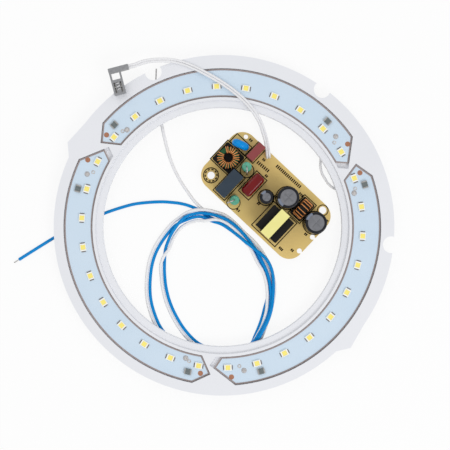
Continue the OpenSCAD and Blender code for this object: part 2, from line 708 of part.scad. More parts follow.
module toroid_core() {
  color([0.2, 0.45, 0.3]) on_driver(toroid_at, toroid_mid_z - toroid_h / 2) difference() {
    cylinder(d = toroid_d, h = toroid_h);
    translate([0, 0, -1]) cylinder(d = toroid_hole_d, h = toroid_h + 2);
  }
}

module toroid_winding() {
  mean_r = (toroid_d + toroid_hole_d) / 4;
  color([0.72, 0.4, 0.16]) on_driver(toroid_at, toroid_mid_z) for (i = [0:toroid_turns - 1])
    rotate(i * 360 / toroid_turns) translate([mean_r, 0, 0]) rotate([90, 0, 0])
      linear_extrude(toroid_wire, center = true)
        wire_frame((toroid_d - toroid_hole_d) / 2, toroid_h, toroid_wire, wire_clearance);
}

module disc_capacitor() {
  middle = disc_lift + disc_d / 2;
  flat_r = (disc_d - disc_t) / 2;
  color([0.04, 0.52, 0.85]) on_driver(disc_at, drv_top) rotate(disc_angle) {
    translate([0, 0, middle]) rotate([90, 0, 0]) rotate_extrude() {
      translate([0, -disc_t / 2]) square([flat_r, disc_t]);
      intersection() {
        translate([flat_r, 0]) circle(d = disc_t);
        translate([flat_r, -disc_t / 2]) square([disc_t, disc_t]);
      }
    }
    for (s = [-1, 1]) translate([s * disc_pitch / 2, 0, 0]) cylinder(d = part_lead_d, h = middle);
  }
}

module film_capacitor_small() {
  color([0.55, 0.24, 0.24]) on_driver(small_film_at, drv_top)
    rounded_block(small_film_size, small_film_h, box_edge_r);
}

module box_capacitor() {
  color([0.22, 0.27, 0.32]) on_driver(box_cap_at, drv_top) rounded_block(box_cap_size, box_cap_h, box_edge_r);
}

module film_capacitor_large() {
  r = large_film_round;
  color([0.51, 0.04, 0.06]) on_driver(large_film_at, drv_top) {
    hull() for (x = [-1, 1], y = [-1, 1], z = [large_film_lift + r, large_film_h - r])
      translate([x * (large_film_size[0] / 2 - r), y * (large_film_size[1] / 2 - r), z]) sphere(r, $fn = 24);
    for (s = [-1, 1]) translate([0, s * large_film_pitch / 2, 0]) cylinder(d = part_lead_d, h = large_film_h / 2);
  }
}

module axial_inductors() {
  r = inductor_d / 2;
  top = inductor_h;
  bead = inductor_bevel;
  color([0.27, 0.67, 0.55]) for (p = inductor_places) on_driver([p[0], p[1]], drv_top) rotate_extrude()
    polygon([[0, 0], [r - bead, 0], [r, bead], [r, inductor_cap_h], [r - inductor_waist, inductor_cap_h + bead],
      [r - inductor_waist, top - inductor_cap_h - bead], [r, top - inductor_cap_h], [r, top - bead],
      [r - bead, top], [0, top]]);
}

module axial_inductor_leads() {
  bend_z = inductor_h + hairpin_rise;
  color("silver") for (p = inductor_places) on_driver([p[0], p[1]], drv_top) rotate(p[2]) {
    translate([0, 0, inductor_h]) cylinder(d = part_lead_d, h = hairpin_rise);
    translate([hairpin_span / 2, 0, bend_z]) rotate([90, 0, 0]) rotate_extrude(angle = 180)
      translate([hairpin_span / 2, 0]) circle(d = part_lead_d);
    translate([hairpin_span, 0, 0]) cylinder(d = part_lead_d, h = bend_z);
  }
}

module can(at, d, h) {
  r = d / 2 - sleeve_t - sleeve_clearance;
  top = h - can_inset;
  color([0.75, 0.76, 0.78]) on_driver(at, drv_top) difference() {
    rotate_extrude() difference() {
      union() {
        square([r - can_edge_r, top]);
        square([r, top - can_edge_r]);
        translate([r - can_edge_r, top - can_edge_r]) circle(can_edge_r);
      }
      translate([r + can_groove_r / 4, can_groove_z]) circle(can_groove_r);
    }
    for (a = [0, 90]) rotate(a) translate([-d / 4, -score_w / 2, top - score_d]) cube([d / 2, score_w, 1]);
  }
}

module sleeve(at, d, h) {
  r = d / 2;
  inner = r - sleeve_t;
  lip_z = h - can_inset + sleeve_clearance;
  color([0.13, 0.13, 0.15]) on_driver(at, drv_top) rotate_extrude() difference() {
    union() {
      square([r - can_edge_r, h]);
      square([r, h - can_edge_r]);
      translate([r - can_edge_r, h - can_edge_r]) circle(can_edge_r);
    }
    translate([0, -1]) square([inner, lip_z + 1]);
    square([r - sleeve_lip_w, h + 1]);
    translate([r + can_groove_r / 2, can_groove_z]) circle(can_groove_r);
  }
}

// Upright two-winding choke
choke_mid_z = drv_top + choke_base_t + choke_lift + choke_d / 2;

module choke_base() {
  color([0.12, 0.12, 0.12]) on_driver(choke_at, drv_top)
    rounded_block(choke_base_size, choke_base_t, base_corner_r);
}

module choke_core() {
  color([0.25, 0.27, 0.27]) on_driver(choke_at, choke_mid_z) rotate([0, 90, 0]) difference() {
    cylinder(d = choke_d, h = choke_t, center = true);
    cylinder(d = choke_hole_d, h = choke_t + 2, center = true);
  }
}

module choke_winding() {
  mean_r = (choke_d + choke_hole_d) / 4;
  color([0.7, 0.38, 0.15]) on_driver(choke_at, choke_mid_z) for (i = [0:choke_turns - 1]) {
    turn = choke_first_angle + i * choke_turn_angle;
    for (side = [turn, 180 - turn]) rotate([side, 0, 0]) translate([0, mean_r, 0])
      linear_extrude(choke_wire, center = true)
        wire_frame(choke_t, (choke_d - choke_hole_d) / 2, choke_wire, wire_clearance);
  }
}

// Transformer: two E halves meet in the middle of the bobbin
trafo_z = drv_top + trafo_lift;
window_low = trafo_lift + core_bar;
window_high = trafo_lift + core_h - core_bar;

module core_half() {
  half = core_h / 2;
  rotate([90, 0, 90]) linear_extrude(core_t, center = true) {
    translate([-core_w / 2, 0]) square([core_w, core_bar]);
    translate([-core_mid / 2, 0]) square([core_mid, half]);
    for (s = [-1, 1]) translate([s * (core_w - core_leg) / 2 - core_leg / 2, 0]) square([core_leg, half]);
  }
}

module transformer_core_lower() {
  color([0.16, 0.16, 0.18]) on_driver(trafo_at, trafo_z) core_half();
}

module transformer_core_upper() {
  color([0.16, 0.16, 0.18]) on_driver(trafo_at, trafo_z + core_h) mirror([0, 0, 1]) core_half();
}

module bobbin_tube(grow) {
  square([core_t + 2 * (trafo_gap + grow), core_mid + 2 * (trafo_gap + grow)], center = true);
}

module bobbin_plate() {
  window_w = core_w - 2 * core_leg - 2 * trafo_gap;
  square([bobbin_l, window_w], center = true);
  for (s = [-1, 1]) translate([s * (bobbin_l + core_t + 2 * trafo_gap) / 4, 0])
    square([(bobbin_l - core_t) / 2 - trafo_gap, bobbin_w], center = true);
}

module transformer_bobbin() {
  rail_w = (bobbin_l - core_t) / 2 - trafo_gap;
  color([0.09, 0.09, 0.1]) on_driver(trafo_at, drv_top) {
    difference() {
      union() {
        for (z = [window_low + trafo_gap, window_high - trafo_gap - bobbin_t])
          translate([0, 0, z]) linear_extrude(bobbin_t) bobbin_plate();
        translate([0, 0, window_low + trafo_gap]) linear_extrude(window_high - window_low - 2 * trafo_gap)
          bobbin_tube(bobbin_tube_t);
      }
      linear_extrude(core_h + trafo_lift) bobbin_tube(0);
    }
    for (s = [-1, 1]) translate([s * (bobbin_l - rail_w) / 2 - rail_w / 2, -bobbin_w / 2, 0])
      cube([rail_w, bobbin_w, window_low + trafo_gap]);
  }
}

module transformer_winding() {
  low = window_low + 2 * trafo_gap + bobbin_t;
  high = window_high - 2 * trafo_gap - bobbin_t;
  color([0.86, 0.78, 0.35]) on_driver(trafo_at, drv_top + low) linear_extrude(high - low) difference() {
    rounded_rect(bobbin_l - 2 * winding_margin, core_w - 2 * core_leg - 2 * trafo_gap - winding_margin,
      winding_corner_r);
    bobbin_tube(bobbin_tube_t + trafo_gap / 2);
  }
}

module transformer_tape() {
  color([0.93, 0.9, 0.62]) on_driver(trafo_at, trafo_z + core_h / 2) rotate([90, 0, 90])
    linear_extrude(tape_w, center = true) difference() {
      square([core_w + 2 * tape_t, core_h + 2 * tape_t], center = true);
      square([core_w, core_h], center = true);
    }
}

// Plug: a bar that takes the wires and a body with two contacts
module plug_place() {
  translate(concat(plug_at, [plug_lift])) rotate(plug_angle) children();
}

plug_window_far = plug_bar_w / 2 + plug_window_l;
plug_slot_near = plug_window_far + plug_block_l;
plug_slot_l = plug_reach - plug_wall - plug_slot_near;

module plug_housing() {
  cut = 1;
  open_w = plug_body_w - 2 * plug_rail;
  color([0.85, 0.86, 0.87]) plug_place() difference() {
    union() {
      rounded_block([plug_bar_l, plug_bar_w], plug_h, plug_corner_r);
      translate([plug_body_shift - plug_body_w / 2, -plug_reach, 0]) cube([plug_body_w, plug_reach, plug_h]);
    }
    translate([plug_body_shift, 0, 0]) {
      translate([-open_w / 2, -plug_window_far, -cut]) cube([open_w, plug_window_l, plug_h + 2 * cut]);
      for (i = [0:plug_small_count - 1])
        translate([-plug_small_window[0] / 2,
          -plug_slot_near - plug_small_window[1] - i * plug_small_pitch, -cut])
          cube([plug_small_window[0], plug_small_window[1], plug_h + 2 * cut]);
      for (s = [-1, 1]) {
        translate([s * plug_slot_out - plug_slot_w / 2, -plug_slot_near - plug_slot_l, plug_floor])
          cube([plug_slot_w, plug_slot_l, plug_h]);
        translate([s * plug_slot_out, -plug_reach - cut, plug_h / 2]) rotate([-90, 0, 0])
          cylinder(d = plug_socket_d, h = plug_wall + 2 * cut);
      }
    }
  }
}

module plug_contacts() {
  strip_w = plug_slot_w - 2 * contact_gap;
  strip_l = plug_slot_l - 2 * contact_gap;
  color([0.78, 0.76, 0.7]) plug_place() for (s = [-1, 1])
    translate([plug_body_shift + s * plug_slot_out - strip_w / 2, contact_gap - plug_slot_near - plug_slot_l,
      plug_floor]) {
      cube([strip_w, strip_l, contact_t]);
      translate([0, strip_l / 2, 0]) cube([strip_w, contact_t, plug_h - plug_floor - contact_t]);
    }
}

carrier_ring();
led_board(gap_top);  // led_board_top
led_board(gap_left);  // led_board_left
led_board(gap_right);  // led_board_right
led_frames(gap_top);  // led_frames_top
led_frames(gap_left);  // led_frames_left
led_frames(gap_right);  // led_frames_right
led_phosphor(gap_top);  // led_phosphor_top
led_phosphor(gap_left);  // led_phosphor_left
led_phosphor(gap_right);  // led_phosphor_right
led_terminals(gap_top);  // led_terminals_top
led_terminals(gap_left);  // led_terminals_left
led_terminals(gap_right);  // led_terminals_right
board_copper_pads();
board_chips();
board_chip_terminals();
board_solder_joints();
board_pad_rings();
link_wire_right();
link_wire_left();
lead_blue();
lead_blue_strands();
lead_white();
lead_white_strands();
driver_board();
driver_solder_joints();
toroid_base();
toroid_core();
toroid_winding();
disc_capacitor();
film_capacitor_small();
film_capacitor_large();
box_capacitor();
axial_inductors();
axial_inductor_leads();
can(small_can_at, small_can_d, small_can_h);  // electrolytic_small_can
sleeve(small_can_at, small_can_d, small_can_h);  // electrolytic_small_sleeve
can(mid_can_at, big_can_d, big_can_h);  // electrolytic_mid_can
sleeve(mid_can_at, big_can_d, big_can_h);  // electrolytic_mid_sleeve
can(end_can_at, big_can_d, big_can_h);  // electrolytic_end_can
sleeve(end_can_at, big_can_d, big_can_h);  // electrolytic_end_sleeve
choke_base();
choke_core();
choke_winding();
transformer_bobbin();
transformer_core_lower();
transformer_core_upper();
transformer_winding();
transformer_tape();
driver_lead_a();
driver_lead_b();
plug_housing();
plug_contacts();
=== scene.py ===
"""Looks of a round LED lamp module: finishes, leads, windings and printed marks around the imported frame."""
import json
import math
import random

import bmesh
import bpy
from mathutils import Matrix, Vector
from mathutils.geometry import interpolate_bezier


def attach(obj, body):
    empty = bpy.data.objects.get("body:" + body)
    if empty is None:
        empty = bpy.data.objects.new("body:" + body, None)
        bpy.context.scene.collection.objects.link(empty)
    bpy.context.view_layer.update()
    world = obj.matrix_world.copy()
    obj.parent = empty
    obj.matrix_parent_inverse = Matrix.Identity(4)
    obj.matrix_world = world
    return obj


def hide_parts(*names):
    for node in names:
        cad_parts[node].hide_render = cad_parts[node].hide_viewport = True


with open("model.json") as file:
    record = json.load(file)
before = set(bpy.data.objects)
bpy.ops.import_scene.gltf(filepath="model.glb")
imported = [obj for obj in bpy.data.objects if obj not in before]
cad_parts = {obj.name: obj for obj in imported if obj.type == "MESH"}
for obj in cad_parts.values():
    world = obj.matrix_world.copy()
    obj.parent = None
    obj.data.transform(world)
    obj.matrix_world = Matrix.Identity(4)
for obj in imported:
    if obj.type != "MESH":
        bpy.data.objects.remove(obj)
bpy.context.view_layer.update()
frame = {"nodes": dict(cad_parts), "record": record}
nodes = frame["nodes"]
MM = 0.001

# View from straight above, framed as in the photograph
VIEW_WIDTH = 209.2 * MM
VIEW_CENTRE = (1.255 * MM, 0.93 * MM)
VIEW_DISTANCE = 600 * MM
RING_TOP = 6.6 * MM
SENSOR = 36.0

# Driver board: middle, turn and top face
DRIVER_AT = (20.332, 14.718)
DRIVER_ANGLE = math.radians(-43.3)
DRIVER_TOP = 3.6

# Supply leads, link wires and twin lead, in millimetres. A strand lies on the table, on another or on two
LEAD_D = 1.5
LEAD_CLEARANCE = 0.01
LOW = LEAD_D / 2 + LEAD_CLEARANCE
HIGH = LOW + LEAD_D + LEAD_CLEARANCE
TOP = HIGH + LEAD_D + LEAD_CLEARANCE
STRAND_GAP = LEAD_D + 2 * LEAD_CLEARANCE
LINK_D = 1.2
TWIN_D = 1.1
TWIN_SIDE = 0.58
STRAND_D = 0.6
HANDLE = 0.35

# Solder joints on the LED boards: outwards from the pocket's inner edge, and degrees from a gap
POCKET_FLOOR_Z = 4.4
POCKET_IN_R = 60.4
JOINT_DROP = 0.9
GAP_TOP, GAP_LEFT, GAP_RIGHT = 25.1, 145.1, 265.1
CW_JOINT = (7.2, 13.5)
CCW_JOINT = (3.0, 109.3)

# Routes of the wires, given point by point. A supply lead is written from its bare end to its joint.
# LANE_FIRST is the lowest pass down the coil's right side, and the white lead lies beside it twice
BLUE_STRANDS = [(-97.7, -16.75, LOW), (-96.5, -16, LOW), (-95.4, -15.3, LOW)]
BLUE_OUT = [(-95.4, -15.3, LOW), (-87, -10, LOW), (-78.2, -4.6, LOW), (-67, 1.4, LOW), (-55.4, 6.4, LOW),
            (-43.7, 10.2, LOW), (-37.3, 11.3, LOW), (-28.7, 11.8, LOW), (-22.4, 11.4, LOW),
            (-18.6, 10.8, LOW), (-14.9, 9.7, LOW), (-10.9, 7.9, LOW)]
BLUE_FIRST = [(-8.4, 5.9, LOW), (-4.9, 4.1, LOW), (-0.1, 2.3, LOW), (4.4, -1, LOW)]
LANE_FIRST = [(8.2, -4.7, LOW), (11.9, -8.1, LOW), (14.8, -11.3, LOW), (17.3, -15, LOW), (19.3, -19.2, LOW),
              (20.9, -23.6, LOW), (21.6, -28.6, LOW), (21.1, -33.4, LOW), (19.8, -38.2, LOW),
              (18.8, -42, LOW), (17.2, -46.7, LOW), (15.2, -51.4, LOW)]
BLUE_INNER_RETURN = [(13.9, -54.4, LOW), (11.2, -56.4, LOW), (7.6, -57.5, LOW), (4, -57.9, LOW),
                     (-2, -57.6, LOW), (-7.5, -56.4, LOW), (-11.9, -54.1, LOW), (-17, -49, LOW),
                     (-21, -43, LOW), (-24.3, -36.1, LOW), (-26.3, -29, LOW), (-27.1, -22, LOW),
                     (-27.1, -15.6, LOW), (-26.7, -10.6, LOW), (-25.5, -6.9, 1.2), (-23.8, -3.1, 1.9),
                     (-21.9, -0.2, HIGH), (-20, 2.3, HIGH), (-16.7, 5, HIGH), (-13, 6.2, HIGH),
                     (-9.9, 6.5, HIGH)]
BLUE_SECOND = [(-4.2, 5.7, HIGH), (0.8, 4.1, HIGH), (5.9, 0.8, HIGH), (10.6, -4, HIGH), (13.9, -8.2, HIGH),
               (16.1, -11.2, HIGH), (17.8, -14.6, HIGH), (19.9, -18.9, HIGH), (21.5, -23.2, HIGH),
               (22.5, -28.4, HIGH), (22.8, -33.8, HIGH), (22.2, -38.4, HIGH), (20.8, -43, 2.5),
               (18.9, -47, 2.8), (16.8, -50.6, 2.6), (14.9, -53.4, HIGH)]
BLUE_OUTER_RETURN = [(10.4, -57, HIGH), (6.5, -60.4, 2), (1, -61.9, LOW), (-6.5, -61.6, LOW),
                     (-15, -58.6, LOW), (-22.6, -53.9, LOW), (-28.2, -48.3, LOW), (-31.7, -41, LOW),
                     (-33.7, -33, LOW), (-33.8, -24, LOW), (-32.4, -15.5, LOW), (-29.2, -8.3, LOW),
                     (-23.4, -0.5, LOW), (-20, 2, LOW), (-16.6, 3.5, 1.2), (-13.2, 4.6, 1.9),
                     (-9.9, 4.8, HIGH)]
BLUE_THIRD = [(-5.2, 2.9, HIGH), (-0.4, 1.3, HIGH), (4.1, -1.6, HIGH), (7.6, -4.3, 3.2), (11.7, -7.6, TOP),
              (15.3, -10.4, TOP), (18.3, -12.8, TOP), (20.9, -15.4, 3.6), (22.9, -19.4, 2.8),
              (23.8, -23.6, HIGH), (23.9, -28.8, 2.7), (23.6, -34, 3.3), (22.9, -38.6, 3.6),
              (21.5, -43.2, 3.8), (19.5, -47.4, 4), (17.7, -50.8, 3.4), (16.4, -53.6, 2.5)]
BLUE_END = [(13.2, -59.4, HIGH), (9, -63.6, HIGH), (2, -65.6, 1.6), (-5, -65.5, 1.2), (-11, -64, 1.4),
            (-15.4, -62, 2.5)]
WHITE_STRANDS = [(-31, 74.3, LOW), (-31.2, 71.5, LOW), (-31.2, 68.8, LOW)]
WHITE_OUT = [(-31.2, 68.8, LOW), (-31.2, 62.5, LOW), (-29.8, 55.5, LOW), (-28.3, 47.2, LOW),
             (-26.8, 40.4, LOW), (-24.9, 33.3, LOW), (-22.3, 26.6, LOW), (-19.3, 21, LOW),
             (-16.3, 16.5, LOW), (-13.3, 12.4, LOW), (-9.6, 8.7, LOW)]
WHITE_FIRST = [(-7, 7.1, LOW), (-4.2, 5.8, LOW), (0.5, 3.9, LOW), (5.3, 0.2, LOW)]
WHITE_INNER_RETURN = [(14.2, -56.4, LOW), (10.8, -58.3, LOW), (4.6, -59.5, LOW), (-2, -59.3, LOW),
                      (-8.1, -58, LOW), (-12.9, -55.5, LOW), (-18.3, -50.1, LOW), (-22.5, -43.8, LOW),
                      (-25.9, -36.7, LOW), (-27.9, -29.3, LOW), (-28.8, -22, LOW), (-28.8, -17.6, 1.3),
                      (-27.3, -13.6, 2.2), (-24.9, -10.2, 1.6), (-23.3, -6, LOW), (-21.2, -2.4, LOW),
                      (-18.6, 0.3, LOW), (-15.2, 2.1, 1.3), (-11.6, 3, 2.6), (-8, 2.9, TOP),
                      (-3.6, 3.5, TOP)]
WHITE_SECOND = [(0.2, 2.7, HIGH), (5, -0.4, HIGH), (9.5, -5, HIGH), (12.8, -9.2, HIGH), (14.8, -13.2, HIGH),
                (16.4, -16.6, HIGH), (18.6, -20.2, HIGH), (20.1, -24.4, HIGH), (20.9, -29, HIGH),
                (21, -34.6, HIGH), (20.6, -39.2, HIGH), (19.4, -43.9, 1.9), (18.1, -47.4, 1.4),
                (16.4, -50.6, 1.3), (14.6, -53.8, 1.4)]
WHITE_OUTER_RETURN = [(11.8, -58.2, HIGH), (7.6, -62, 2), (1.2, -63.6, LOW), (-6.8, -63.3, LOW),
                      (-15.7, -60.2, LOW), (-23.6, -55.2, LOW), (-29.6, -49.3, LOW), (-33.3, -41.6, LOW),
                      (-35.4, -33.2, LOW), (-35.5, -23.8, LOW), (-34, -14.9, LOW), (-30.7, -7.4, LOW),
                      (-24.4, 1, LOW), (-20.6, 4.1, 1), (-17, 6.6, 1.6), (-13.2, 7.9, HIGH),
                      (-9.8, 8.1, HIGH)]
WHITE_THIRD = [(-6.6, 7.9, HIGH), (-3.6, 7.2, 1.5), (1.3, 5.5, LOW), (6.2, 1.7, LOW)]
WHITE_END = [(14.4, -58, LOW), (12.8, -61.6, LOW), (11.4, -64.8, 1), (10.5, -66.4, 2.4)]
LINK_RIGHT = [(60.2, 16.4, 2), (57.8, 16.8, 0.9), (55.5, 17.3, 0.6), (52.6, 18.1, 0.6), (50, 20, 0.6),
              (48.2, 22.6, 0.6), (46.9, 25, 0.6), (46.1, 28, 0.6), (46.1, 31, 0.6), (46.9, 34.5, 0.6),
              (48.8, 37.6, 0.6), (50.6, 40, 1.4), (52.1, 41.7, 2.6)]
LINK_LEFT = [(-46, 44.2, 2.2), (-49.6, 41, 1.2), (-53.4, 36.8, 0.9), (-57, 32.2, 1), (-60.2, 27.8, 1.5),
             (-62.2, 25.4, 2.6)]
TWIN_WAY = [(21.4, 33.3, 5.8), (21.2, 34.9, 6.3), (20.9, 37.3, 5.6), (20.1, 41.5, 4.5), (17.9, 48.2, 5.2),
            (16.4, 51, 6.2), (13.6, 55, 7.2), (9.8, 59.2, 7.3), (4.9, 63.4, 7.25), (-1, 67.5, 7.25),
            (-8, 71.5, 7.25), (-15, 74.9, 7.25), (-21.5, 77, 7.3), (-27.5, 77.5, 7.8), (-33.5, 77.1, 8.3),
            (-37.2, 76.3, 8.4)]
TWIN_AT = (-11.3, 13.75)
TWIN_RISE = 0.9
PLUG_AT = (-48.1, 73.1)
PLUG_ANGLE = math.radians(14.5)
PLUG_BAR_L = 9.6
PLUG_WIRE_Z = 8.45
PLUG_RUN = 1.6

# Driver parts: places along and across the board, and sizes
DISC_AT = (-24.8, 9.4)
INDUCTOR_UPPER_AT = (-14.3, 2.4)
INDUCTOR_LOWER_AT = (-8.7, -12.8)
TRANSFORMER_AT = (12.0, -7.0)
CAN_SMALL_AT = (0.7, -0.7)
CAN_MID_AT = (8.1, 6.0)
CAN_END_AT = (25.3, 6.2)
HOLE_LARGE_AT = (-25.1, -10.7)
HOLE_SMALL_AT = (24.1, 13.2)
SMALL_FILM_AT = (-17.2, 11.3)
SMALL_FILM_SIZE = (3.9, 8.9, 8.0)
SMALL_FILM_EDGE = 0.3
BOX_CAP_AT = (-16.1, -7.9)
BOX_CAP_SIZE = (6.0, 13.0, 12.0)
BOX_CAP_EDGE = 0.4
LARGE_FILM_AT = (-7.7, -0.8)
LARGE_FILM_SIZE = (5.5, 11.5, 8.6)
LARGE_FILM_EDGE = 1.6
LARGE_FILM_LIFT = 0.9
LARGE_FILM_PITCH = 7.5
PART_LEAD_D = 0.6
PART_LEAD_L = 2.5
TOROID_AT = (-24.7, 0.7)
TOROID_BASE_T = 1.4
TOROID_LIFT = 0.72
TOROID_SECTION = (2.2, 3.6)
TOROID_MEAN_R = 3.7
TOROID_WIRE = 0.48
TOROID_TURNS = 22
TOROID_GAP_AT = 172.0
TOROID_GAP = 30.0
CHOKE_AT = (16.7, 7.0)
CHOKE_MID = 5.5
CHOKE_SECTION = (2.0, 4.0)
CHOKE_MEAN_R = 3.0
CHOKE_WIRE = 0.5
CHOKE_TURNS = 6
CHOKE_STEP = 25.0
CHOKE_FIRST = -50.0

# Stripes down the sleeves: the can's middle and the direction that the stripe faces
SLEEVES = {"electrolytic_small_sleeve": (CAN_SMALL_AT, 167), "electrolytic_mid_sleeve": (CAN_MID_AT, 255),
           "electrolytic_end_sleeve": (CAN_END_AT, 180)}
STRIPE_HALF_ANGLE = 24

# Ink frames: middle and size. Rings: middle, radius, line and dashes. Ticks: first, last, count and length
INK_H = 0.03
INK_FRAME_LINE = 0.45
INK_TICK_LINE = 0.62
INK_RING_SIDES = 40
INK_DASH_SHARE = 0.62
INK_FRAMES = [(TOROID_AT, (12.0, 12.0)), (DISC_AT, (9.6, 5.0)), (SMALL_FILM_AT, (5.0, 9.2)),
              (BOX_CAP_AT, (7.2, 14.2)), (LARGE_FILM_AT, (6.6, 12.6)), (TRANSFORMER_AT, (14.9, 15.1)),
              (CHOKE_AT, (7.4, 11.6))]
INK_RINGS = [(HOLE_LARGE_AT, 3.5, 0.5, 0), (HOLE_LARGE_AT, 2.8, 0.6, 10), (HOLE_SMALL_AT, 2.5, 0.45, 0),
             (INDUCTOR_UPPER_AT, 3.2, 0.45, 0), (INDUCTOR_LOWER_AT, 3.1, 0.4, 0), (CAN_SMALL_AT, 3.7, 0.5, 0),
             (CAN_MID_AT, 5.4, 0.5, 0), (CAN_END_AT, 5.4, 0.5, 0)]
INK_TICKS = [((-5.6, 13.6), (8.8, 13.9), 16, 1.6), ((-13.3, 8.7), (-7.1, 9.1), 7, 1.6),
             ((-23.3, 14), (-22.4, 14), 2, 1.2), ((-12.5, 11.5), (-11.7, 11.5), 2, 1.2),
             ((-6.5, 6.8), (-5.7, 6.8), 2, 1.2), ((3.1, 2.6), (3.9, 2.6), 2, 1.2),
             ((-0.3, -5.1), (0.5, -5.1), 2, 1.2), ((10.9, 11.6), (12.6, 11.6), 3, 1.2),
             ((-5.2, -13.9), (-4.2, -13.9), 2, 1.2), ((21.4, -13.3), (23, -13.3), 3, 1.2),
             ((26.1, -10.2), (26.9, -10.2), 2, 1.2), ((25.6, -0.4), (26.4, -0.4), 2, 1.2),
             ((29, 10.3), (29, 11.2), 2, 1.2)]

# Light and floor
WORLD_STRENGTH = 0.66
FLOOR_REACH = 3.0
FLOOR_GLOW = 0.88


# Colours are written as they look on a screen, from 0 to 255
def colour(r, g, b):
    def linear(c):
        c /= 255
        return c / 12.92 if c <= 0.04045 else ((c + 0.055) / 1.055) ** 2.4
    return linear(r), linear(g), linear(b), 1.0


def add_node(tree, kind, **inputs):
    made = tree.nodes.new(kind)
    for name, value in inputs.items():
        socket = made.inputs[name.replace("_", " ")]
        if isinstance(value, bpy.types.NodeSocket):
            tree.links.new(value, socket)
        else:
            socket.default_value = value
    return made


def mix_colour(tree, factor, a, b):
    """Mixes two colours. The node's colour sockets are inputs 6 and 7 and output 2."""
    made = tree.nodes.new("ShaderNodeMix")
    made.data_type = "RGBA"
    for index, value in ((0, factor), (6, a), (7, b)):
        if isinstance(value, bpy.types.NodeSocket):
            tree.links.new(value, made.inputs[index])
        else:
            made.inputs[index].default_value = value
    return made.outputs[2]


def math_node(tree, operation, a, b=None):
    made = tree.nodes.new("ShaderNodeMath")
    made.operation = operation
    for index, value in ((0, a), (1, b)):
        if isinstance(value, bpy.types.NodeSocket):
            tree.links.new(value, made.inputs[index])
        elif value is not None:
            made.inputs[index].default_value = value
    return made.outputs[0]


def object_coords(tree):
    return tree.nodes.new("ShaderNodeTexCoord").outputs["Object"]


def surface(name, dark, light, patch=150.0, rough=(0.4, 0.5), grain=(2500.0, 0.06), metallic=0.0, **sockets):
    """A finish whose colour drifts between two tones in soft patches, with uneven gloss and a fine grain."""
    mat = bpy.data.materials.new(name)
    mat.use_nodes = True
    tree = mat.node_tree
    bsdf = tree.nodes["Principled BSDF"]
    bsdf.inputs["Metallic"].default_value = metallic
    for socket, value in sockets.items():
        bsdf.inputs[socket.replace("_", " ")].default_value = value
    coords = object_coords(tree)
    patches = add_node(tree, "ShaderNodeTexNoise", Vector=coords, Scale=patch, Detail=3.0)
    tree.links.new(mix_colour(tree, patches.outputs[0], dark, light), bsdf.inputs["Base Color"])
    fine = add_node(tree, "ShaderNodeTexNoise", Vector=coords, Scale=grain[0], Detail=2.0)
    spread = add_node(tree, "ShaderNodeMapRange", Value=fine.outputs[0], To_Min=rough[0], To_Max=rough[1])
    tree.links.new(spread.outputs[0], bsdf.inputs["Roughness"])
    bump = add_node(tree, "ShaderNodeBump", Height=fine.outputs[0], Strength=grain[1], Distance=0.0002)
    tree.links.new(bump.outputs[0], bsdf.inputs["Normal"])
    return mat


def base_colour(mat):
    """The tree, the shader and the socket that now gives its colour."""
    tree = mat.node_tree
    bsdf = tree.nodes["Principled BSDF"]
    return tree, bsdf, bsdf.inputs["Base Color"].links[0].from_socket


def facing_up(tree):
    """One on faces that lie flat, seen from above or below, and zero on upright ones."""
    flat_from = 0.7
    normal = tree.nodes.new("ShaderNodeNewGeometry").outputs["Normal"]
    parts = add_node(tree, "ShaderNodeSeparateXYZ", Vector=normal)
    return math_node(tree, "GREATER_THAN", math_node(tree, "ABSOLUTE", parts.outputs[2]), flat_from)


def with_edge(mat, edge):
    """Gives the upright faces of a plate another colour, as a sheared laminate has."""
    tree, bsdf, top = base_colour(mat)
    tree.links.new(mix_colour(tree, facing_up(tree), edge, top), bsdf.inputs["Base Color"])
    return mat


